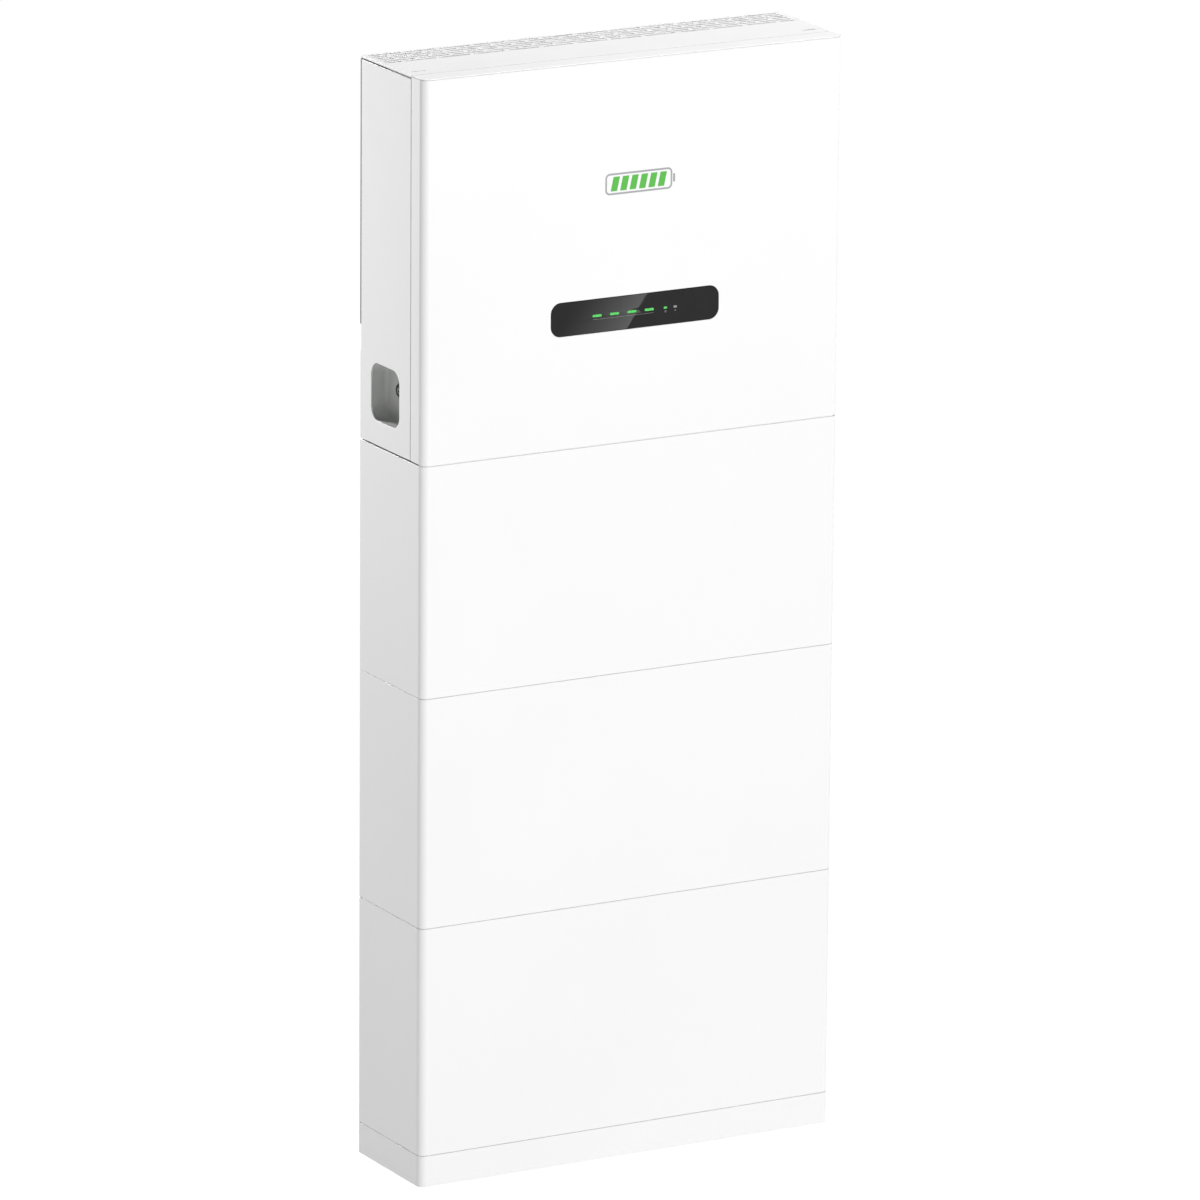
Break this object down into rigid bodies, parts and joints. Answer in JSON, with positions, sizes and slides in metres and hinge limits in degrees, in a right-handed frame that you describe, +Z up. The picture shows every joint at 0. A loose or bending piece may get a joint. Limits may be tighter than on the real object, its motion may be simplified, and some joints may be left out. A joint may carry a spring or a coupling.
{
  "type": "wall battery unit",
  "caption": "Tall white floor-standing home battery stack against a wall: inverter with display strip and vents over plain battery modules and a low base.",
  "frame": {"origin": "on the floor, midway across the width and midway between the front face and the wall that the brackets meet", "axes": "+X to the right as seen from the front, -Y towards the viewer (front), +Z up"},
  "size_m": [0.65, 0.2, 1.56],
  "materials": {
    "white_paint": "satin white powder coat",
    "grey_paint": "satin grey powder coat",
    "black_paint": "satin black powder coat",
    "zinc_steel": "zinc-plated sheet steel",
    "cast_aluminium": "plain aluminium, matt",
    "lens_black": "gloss black, smoked",
    "lamp_green": "green light pipe, lit",
    "lamp_pale": "clear light pipe, dim",
    "recess_plastic": "grey moulded plastic, fine texture",
    "button_black": "black, satin",
    "black_plastic": "black moulded plastic",
    "board_green": "green solder mask",
    "rubber": "matt black",
    "cell_blue": "aluminium cans in blue film"
  },
  "bodies": {
    "stack": {"alarm_lamp": "lamp_pale", "base_frame": "grey_paint", "base_skirt": "white_paint", "base_socket": "black_plastic", "battery_1_board": "board_green", "battery_1_case": "zinc_steel", "battery_1_cells": "cell_blue", "battery_1_cover": "white_paint", "battery_1_plug": "black_plastic", "battery_1_socket": "black_plastic", "battery_2_board": "board_green", "battery_2_case": "zinc_steel", "battery_2_cells": "cell_blue", "battery_2_cover": "white_paint", "battery_2_plug": "black_plastic", "battery_2_socket": "black_plastic", "battery_3_board": "board_green", "battery_3_case": "zinc_steel", "battery_3_cells": "cell_blue", "battery_3_cover": "white_paint", "battery_3_plug": "black_plastic", "battery_3_socket": "black_plastic", "button_recess": "recess_plastic", "button_switch": "black_plastic", "cable_recess": "recess_plastic", "capacitor_bank": "black_plastic", "choke_block": "cast_aluminium", "data_gland": "black_plastic", "display_board": "board_green", "display_lens": "lens_black", "duct_plate": "black_paint", "front_cover": "white_paint", "grid_gland": "black_plastic", "heat_sink": "cast_aluminium", "inner_lid": "zinc_steel", "inverter_chassis": "grey_paint", "inverter_plug": "black_plastic", "inverter_wall_rail": "zinc_steel", "level_lamp_1": "lamp_green", "level_lamp_2": "lamp_green", "level_lamp_3": "lamp_green", "level_lamp_4": "lamp_green", "lid_gasket": "rubber", "module_wall_bracket": "zinc_steel", "power_board": "board_green", "run_lamp": "lamp_green", "side_cover_left": "white_paint", "side_cover_right": "white_paint", "solar_gland": "black_plastic", "terminal_block": "black_plastic", "top_cover": "white_paint"},
    "power_button": {"power_button": "button_black"},
    "foot_1_pad": {"foot_1_pad": "rubber"},
    "foot_1_stud": {"foot_1_stud": "zinc_steel"},
    "foot_2_pad": {"foot_2_pad": "rubber"},
    "foot_2_stud": {"foot_2_stud": "zinc_steel"},
    "foot_3_pad": {"foot_3_pad": "rubber"},
    "foot_3_stud": {"foot_3_stud": "zinc_steel"},
    "foot_4_pad": {"foot_4_pad": "rubber"},
    "foot_4_stud": {"foot_4_stud": "zinc_steel"}
  },
  "joints": [
    {"name": "button_press", "type": "slide", "parent": "stack", "child": "power_button", "axis": [1, 0, 0], "range_m": [0, 0.0025], "stiffness_N_per_m": 1000, "springref_m": -0.001},
    {"name": "foot_1_extend", "type": "slide", "parent": "stack", "child": "foot_1_pad", "axis": [0, 0, -1], "range_m": [0, 0.01]},
    {"name": "foot_1_turn", "type": "hinge", "parent": "foot_1_pad", "child": "foot_1_stud", "pos_m": [-0.27, -0.058, 0.02], "axis": [0, 0, -1], "range_deg": [0, 2402]},
    {"name": "foot_2_extend", "type": "slide", "parent": "stack", "child": "foot_2_pad", "axis": [0, 0, -1], "range_m": [0, 0.01]},
    {"name": "foot_2_turn", "type": "hinge", "parent": "foot_2_pad", "child": "foot_2_stud", "pos_m": [-0.27, 0.04, 0.02], "axis": [0, 0, -1], "range_deg": [0, 2402]},
    {"name": "foot_3_extend", "type": "slide", "parent": "stack", "child": "foot_3_pad", "axis": [0, 0, -1], "range_m": [0, 0.01]},
    {"name": "foot_3_turn", "type": "hinge", "parent": "foot_3_pad", "child": "foot_3_stud", "pos_m": [0.27, -0.058, 0.02], "axis": [0, 0, -1], "range_deg": [0, 2402]},
    {"name": "foot_4_extend", "type": "slide", "parent": "stack", "child": "foot_4_pad", "axis": [0, 0, -1], "range_m": [0, 0.01]},
    {"name": "foot_4_turn", "type": "hinge", "parent": "foot_4_pad", "child": "foot_4_stud", "pos_m": [0.27, 0.04, 0.02], "axis": [0, 0, -1], "range_deg": [0, 2402]}
  ],
  "couplings": [
    {"joint": "foot_1_turn", "follows": "foot_1_extend", "rad_per_m": 4188.8},
    {"joint": "foot_2_turn", "follows": "foot_2_extend", "rad_per_m": 4188.8},
    {"joint": "foot_3_turn", "follows": "foot_3_extend", "rad_per_m": 4188.8},
    {"joint": "foot_4_turn", "follows": "foot_4_extend", "rad_per_m": 4188.8}
  ]
}
